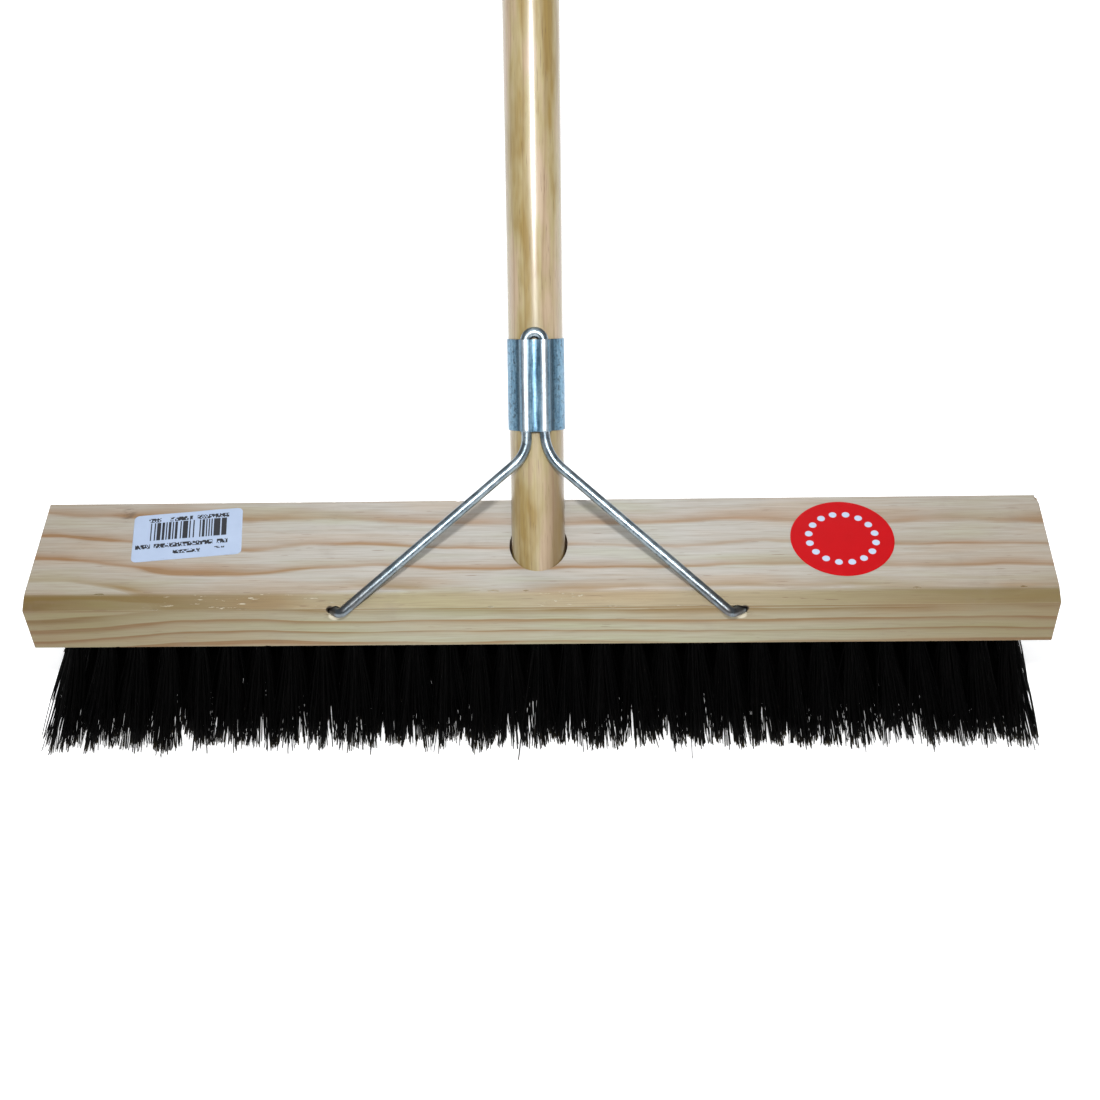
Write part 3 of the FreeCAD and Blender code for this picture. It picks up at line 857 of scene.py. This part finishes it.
# ---- brace ----
def arm_points(arm):
    """From the U-bend down one leg, round the knee and the foot to the end of the tail."""
    top = on_handle(WIRE_TOP, WIRE_STANDOFF, arm["sign"] * HALF_PAIR)
    knee = on_handle(KNEE, WIRE_STANDOFF, arm["sign"] * HALF_PAIR)
    foot, tail = tail_line(arm)
    knee_arc = corner_arc(top, knee, foot, arm["knee_radius"], 16)
    foot_arc = corner_arc(knee, foot, tail, FOOT_BEND_RADIUS, 16)
    step = 2.5 * MM
    return (
        [top]
        + straight(top, knee_arc[0], step)
        + knee_arc
        + straight(knee_arc[-1], foot_arc[0], step)
        + foot_arc
        + straight(foot_arc[-1], tail, step)
        + [tail]
    )


def make_brace_wire():
    left, right = [arm_points(arm) for arm in ARMS]
    bend = []
    for i in range(1, 24):
        angle = math.pi * i / 24
        up = WIRE_TOP + HALF_PAIR * math.sin(angle)
        bend.append(on_handle(up, WIRE_STANDOFF, -HALF_PAIR * math.cos(angle)))
    points = left[::-1] + bend + right
    radii = [WIRE_RADIUS * (1 + 0.012 * noise.noise(p * 90)) for p in points]
    mesh = smooth_mesh("brace_wire", *sweep(points, radii, 28), sharp=50)
    show("brace_wire", mesh, drawn_wire(), "zinc_wire", "brace_wire")


# ---- clip ----
def clip_half_section():
    """The middle of the sheet, as (side, forward), from the gap behind the handle to the front's middle."""
    sheet = CLIP_BORE_RADIUS + CLIP_THICKNESS / 2
    over_wire = WIRE_RADIUS + CLEARANCE + CLIP_THICKNESS / 2
    shoulder = Vector((HALF_PAIR + over_wire, WIRE_STANDOFF))
    first = math.asin((CLIP_GAP / 2) / sheet)
    last = math.pi - math.asin(shoulder.x / sheet)
    points = []
    for i in range(41):  # round the handle
        angle = first + (last - first) * i / 40
        points.append(Vector((sheet * math.sin(angle), -sheet * math.cos(angle))))
    foot = points[-1]
    for i in range(1, 7):  # out beside the wire
        points.append(foot.lerp(shoulder, i / 6))
    for i in range(1, 13):  # over the wire
        angle = math.pi / 2 * i / 12
        spoke = Vector((math.cos(angle), math.sin(angle))) * over_wire
        points.append(Vector((HALF_PAIR, WIRE_STANDOFF)) + spoke)
    ridge = points[-1]
    for i in range(1, 9):  # down into the dip between the two wires
        share = i / 8
        drop = CLIP_DIP * (0.5 - 0.5 * math.cos(math.pi * share))
        points.append(Vector((ridge.x * (1 - share), ridge.y - drop)))
    return points


def softened(points):
    """The same line with its corners eased and its ends kept."""
    between = zip(points, points[1:], points[2:])
    return [points[0]] + [(before + p * 2 + after) / 4 for before, p, after in between] + [points[-1]]


def make_brace_clip():
    half = clip_half_section()
    middle = half + [Vector((-p.x, p.y)) for p in reversed(half[:-1])]
    for _ in range(3):  # a pressed sheet has no sharp folds
        middle = softened(middle)
    rings = []
    for share in (0.0, 0.004, 0.012, *np.linspace(0.04, 0.96, 20), 0.988, 0.996, 1.0):
        along = CLIP_FROM + (CLIP_TO - CLIP_FROM) * share
        end = min(share, 1 - share)
        half_thick = CLIP_THICKNESS / 2 * (0.72 if end == 0 else 0.92 if end < 0.008 else 1.0)
        outer, inner = [], []
        for i, p in enumerate(middle):
            before, after = middle[max(i - 1, 0)], middle[min(i + 1, len(middle) - 1)]
            tangent = (after - before).normalized()
            normal = Vector((tangent.y, -tangent.x))
            ripple = 0.07 * MM * noise.noise(Vector((p.x * 260, p.y * 260, along * 190)))
            outer.append(p + normal * (half_thick + ripple))
            inner.append(p - normal * (half_thick - ripple))
        rings.append([on_handle(along, q.y, q.x) for q in outer + inner[::-1]])
    mesh = smooth_mesh("brace_clip", *skin(rings), sharp=35)
    show("brace_clip", mesh, galvanised_sheet(), "galvanised_sheet", "brace_clip")


# ---- nails ----
def nail(seat, direction, length, shank, head):
    """A wire nail: direction is the way it is driven, and seat is the underside of its head."""
    height = head * 0.2
    point = shank * 1.4
    profile = [
        (-height, head * 0.30),
        (-height * 0.92, head * 0.40),
        (-height * 0.6, head * 0.485),
        (-height * 0.25, head * 0.5),
        (0, head * 0.48),
        (0, shank * 0.56),
        (shank * 0.4, shank * 0.5),
        (length - point, shank * 0.5),
        (length, 0.1 * MM),
    ]
    return lathe(seat, direction, profile, 32)


def make_nails():
    clip_nails = []
    seat = CLIP_BORE_RADIUS + CLIP_THICKNESS
    centre = on_handle((CLIP_FROM + CLIP_TO) / 2)
    for sign in (-1, 1):
        outward = SIDE * math.sin(CLIP_NAIL_ANGLE * sign) - FORWARD * math.cos(CLIP_NAIL_ANGLE * sign)
        clip_nails.append(nail(centre + outward * seat, -outward, 11 * MM, 1.8 * MM, 5 * MM))
    seat = Vector((0, STOCK_HIGH.y, STOCK_TOP - NAIL_DROP))
    handle_nail = nail(seat, Vector((0, -1, 0)), 36 * MM, 2.8 * MM, 6 * MM)
    steel = nail_steel("nail_steel", srgb(168, 168, 166))
    for name, form in (("clip_nails", joined(clip_nails)), ("handle_nail", handle_nail)):
        show(name, smooth_mesh(name, *form, sharp=50), steel, "nail_steel", name)


# ---- fibres ----
def strand_ends(rng, row):
    """Where each strand of a row leaves its hole, and where its tip is."""
    holes = np.array(tuft_row(row))
    tufts = len(holes)
    count = tufts * FIBRES_IN_TUFT
    hole = np.repeat(holes, FIBRES_IN_TUFT, axis=0)
    tuft = np.repeat(np.arange(tufts), FIBRES_IN_TUFT)

    which = rng.integers(0, WISPS, count)
    turn = rng.uniform(0, 2 * math.pi, (tufts, WISPS))
    reach = np.sqrt(rng.uniform(0, 1, (tufts, WISPS)))
    wisp = (np.stack([np.cos(turn), np.sin(turn)], 2) * reach[..., None])[tuft, which]
    spot = wisp * 0.85 + rng.normal(0, 0.16, (count, 2))
    spot /= np.maximum(np.linalg.norm(spot, axis=1), 1)[:, None]
    root = hole + spot * (TUFT_HOLE_RADIUS - 0.35 * MM)

    tip = hole * np.array(TIP_SPREAD) + wisp * np.array(TIP_REACH) + rng.normal(0, TIP_SCATTER, (count, 2))
    row_end = 0.5 * TUFTS_IN_FULL_ROW * TUFT_PITCH
    tip[:, 0] -= SPLAY * np.clip((-hole[:, 0] - SPLAY_FROM) / (row_end - SPLAY_FROM), 0, 1)
    stray = rng.uniform(0, 1, count) < SHARE_STRAY
    tip[stray] += rng.normal(0, 3.5 * MM, (int(stray.sum()), 2))
    tip_z = np.abs(rng.normal(0, 1.0 * MM, (tufts, WISPS)))[tuft, which]
    tip_z += np.abs(rng.normal(0, 0.6 * MM, count)) + LEAST_TIP
    short = rng.uniform(0, 1, count) < SHARE_SHORT
    tip_z[short] += rng.uniform(2, 10, int(short.sum())) * MM
    for x, half, depth in NOTCHES:
        away = tip[:, 0] - x * MM
        near = np.clip(1 - np.abs(away) / (half * MM), 0, 1)
        tip[:, 0] += np.sign(away) * near * half * 0.12 * MM
        tip_z += near * depth * rng.uniform(0.4, 1.0, count) * MM
    over = tip[:, 0] - np.clip(tip[:, 0], *FURTHEST_TIPS)
    tip[:, 0] = np.clip(tip[:, 0] - over * TURN_BACK, *FURTHEST_TIPS)
    return np.column_stack([root, np.full(count, STOCK_BOTTOM)]), np.column_stack([tip, tip_z])


def strand_faces(count, rings):
    """Faces of so many strands: each a tube of so many rings, closed at both ends."""
    sides = []
    for r in range(rings - 1):
        a, b = r * STRAND_SIDES, (r + 1) * STRAND_SIDES
        for i in range(STRAND_SIDES):
            j = (i + 1) % STRAND_SIDES
            sides.append((a + i, b + i, b + j, a + j))
    vertices = rings * STRAND_SIDES
    ends = [tuple(range(STRAND_SIDES)), tuple(reversed(range(vertices - STRAND_SIDES, vertices)))]
    faces = []
    for kind in (sides, ends):
        every = np.array(kind)[None] + (np.arange(count) * vertices)[:, None, None]
        faces += every.reshape(-1, every.shape[-1]).tolist()
    return faces


def make_tuft_row(row, material):
    """Every strand of a row of tufts, from inside its hole to its trimmed tip."""
    rng = np.random.default_rng(100 + row)
    mouth, end = strand_ends(rng, row)
    count = len(mouth)
    bow = rng.normal(0, STRAND_BOW, (count, 2))
    radius = rng.uniform(*STRAND_RADII, count) * MM
    turn = rng.uniform(0, math.pi, count)

    corners = turn[:, None] + np.arange(STRAND_SIDES) * 2 * math.pi / STRAND_SIDES
    ring = np.stack([np.cos(corners), np.sin(corners), np.zeros_like(corners)], 2)
    centres = [mouth + np.array([0, 0, ROOT_DEPTH])]
    for step in range(STRAND_STEPS + 1):
        t = step / STRAND_STEPS
        centre = mouth + (end - mouth) * t
        flare = t**1.1 - t
        centre[:, :2] += (end - mouth)[:, :2] * flare + bow * math.sin(math.pi * t)
        centres.append(centre)
    taper = [1.0] * STRAND_STEPS + [0.95, 0.8]
    spokes = [ring * (radius * share)[:, None, None] for share in taper]
    vertices = np.stack([centre[:, None] + spoke for centre, spoke in zip(centres, spokes)], 1)
    vertices[..., 2] = np.maximum(vertices[..., 2], 0.05 * MM)
    name = f"fibres_row_{row + 1}"
    mesh = mesh_of(name, vertices.reshape(-1, 3).tolist(), strand_faces(count, len(centres)), smooth=True)
    show(name, mesh, material, "black_fibre", f"tufts_row_{row + 1}")


# ---- label and sticker ----
def paper_piece(name, outline, centre, curl, material, slot, node):
    """A thin piece stuck to the stock's top face. outline(share) is its edge, drawn in to that share. curl is
    how high its rim lifts, from which share outwards, and how often."""
    most, start, often = curl

    def lift(p, share):
        return most * max(0.0, share - start) / (1 - start) * max(0.0, noise.noise(p * often))

    top = STOCK_TOP + PAPER_THICKNESS
    edge = [(1.0, PAPER_THICKNESS), (1.0, 0.05 * MM), (0.996, 0.0)]
    face = [(share, 0.0) for share in (0.97, 0.92, 0.84, 0.7, 0.5, 0.3, 0.1)]
    rings = []
    for share, drop in edge + face:
        rings.append([Vector((p.x, p.y, top - drop + lift(p, share))) for p in outline(share)])
    mesh = smooth_mesh(name, *skin(rings), sharp=40)
    mesh.transform(Matrix.Translation((centre.x, centre.y, 0)))
    show(name, mesh, material, slot, node)


def make_label():
    half_x, half_y = LABEL_SIZE[0] / 2, LABEL_SIZE[1] / 2
    signs = ((-1, -1), (1, -1), (1, 1), (-1, 1))
    corners = [Vector((x * half_x, y * half_y, 0)) for x, y in signs]

    def outline(share):
        points = []
        for i, corner in enumerate(corners):
            following = corners[(i + 1) % 4]
            points += corner_arc(corners[i - 1], corner, following, LABEL_CORNER, 8)
            arc_start = following + (corner - following).normalized() * LABEL_CORNER
            points += straight(points[-1], arc_start, 3 * MM)
        return [Matrix.Rotation(LABEL_TURN, 3, "Z") @ (p * share) for p in points]

    curl = 0.35 * MM, 0.8, 60
    paper_piece("blank_label", outline, LABEL_CENTRE, curl, label_paper(), "label_paper", "barcode_label")


def make_sticker():
    def outline(share):
        return circle(Vector((0, 0, 0)), Vector((0, 0, 1)), STICKER_RADIUS * share, 128)

    curl, vinyl = (0.12 * MM, 0.9, 80), sticker_vinyl()
    paper_piece("red_sticker", outline, STICKER_CENTRE, curl, vinyl, "sticker_vinyl", "round_sticker")


# ---- studio ----
def make_camera():
    level_run, drop = math.cos(CAMERA_PITCH), math.sin(CAMERA_PITCH)
    forward = Vector((math.sin(CAMERA_YAW) * level_run, math.cos(CAMERA_YAW) * level_run, -drop))
    level = Vector((math.cos(CAMERA_YAW), -math.sin(CAMERA_YAW), 0))
    down = forward.cross(level)
    right = level * math.cos(CAMERA_ROLL) + down * math.sin(CAMERA_ROLL)
    down = down * math.cos(CAMERA_ROLL) - level * math.sin(CAMERA_ROLL)
    data = bpy.data.cameras.new("camera")
    data.sensor_width = SENSOR_WIDTH
    data.lens = LENS
    data.clip_start = 0.01
    camera = bpy.data.objects.new("camera", data)
    bpy.context.scene.collection.objects.link(camera)
    turned = Matrix((right, -down, -forward)).transposed().to_4x4()
    camera.matrix_world = Matrix.Translation(CAMERA_PLACE) @ turned
    bpy.context.scene.camera = camera


def area_light(name, place, target, size, power, colour=(1, 1, 1)):
    data = bpy.data.lights.new(name, "AREA")
    data.shape = "DISK"
    data.size = size
    data.energy = power
    data.color = colour
    light = bpy.data.objects.new(name, data)
    bpy.context.scene.collection.objects.link(light)
    light.location = place
    light.rotation_euler = (target - place).to_track_quat("-Z", "Y").to_euler()


def make_studio():
    centre = Vector((0, 0, STOCK_TOP))
    key = centre + Vector((0.032, -math.cos(KEY_ELEVATION), math.sin(KEY_ELEVATION))) * KEY_DISTANCE
    area_light("key", key, centre, 0.055, 6.6, (0.99, 0.99, 1.0))
    area_light("softbox", key + Vector((0, -0.05, 0.08)), centre, 0.55, 1.8, (0.98, 0.99, 1.0))
    area_light("overhead", Vector((0, 0.35, 2.4)), Vector((0, 0.35, 0)), 2.6, 14.0, (0.94, 0.97, 1.0))
    area_light("floor_wash", Vector((0, 1.6, 0.9)), Vector((0, 0.85, 0)), 1.2, 11.0)

    world = bpy.data.worlds.new("studio")
    bpy.context.scene.world = world
    world.use_nodes = True
    background = world.node_tree.nodes["Background"]
    background.inputs["Color"].default_value = (0.94, 0.96, 1.0, 1)
    background.inputs["Strength"].default_value = 0.22

    corners = [(x * FLOOR_HALF, y * FLOOR_HALF, 0) for x, y in ((-1, -1), (1, -1), (1, 1), (-1, 1))]
    floor = bpy.data.objects.new("floor", mesh_of("floor", corners, [(0, 1, 2, 3)]))
    floor.data.materials.append(pale_floor())
    bpy.context.scene.collection.objects.link(floor)
    bpy.context.scene.view_settings.view_transform = "Standard"


# ---- the whole broom ----
make_camera()
make_studio()
make_stock()
make_handle()
make_brace_wire()
make_brace_clip()
make_nails()
fibre = black_fibre()
anchor_steel = nail_steel("anchor_wire", srgb(176, 172, 160))
for row in range(TUFT_ROWS):
    make_tuft_row(row, fibre)
    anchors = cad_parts[f"tuft_anchors_row_{row + 1}"]
    anchors.data.materials.clear()
    anchors.data.materials.append(anchor_steel)
make_label()
make_sticker()
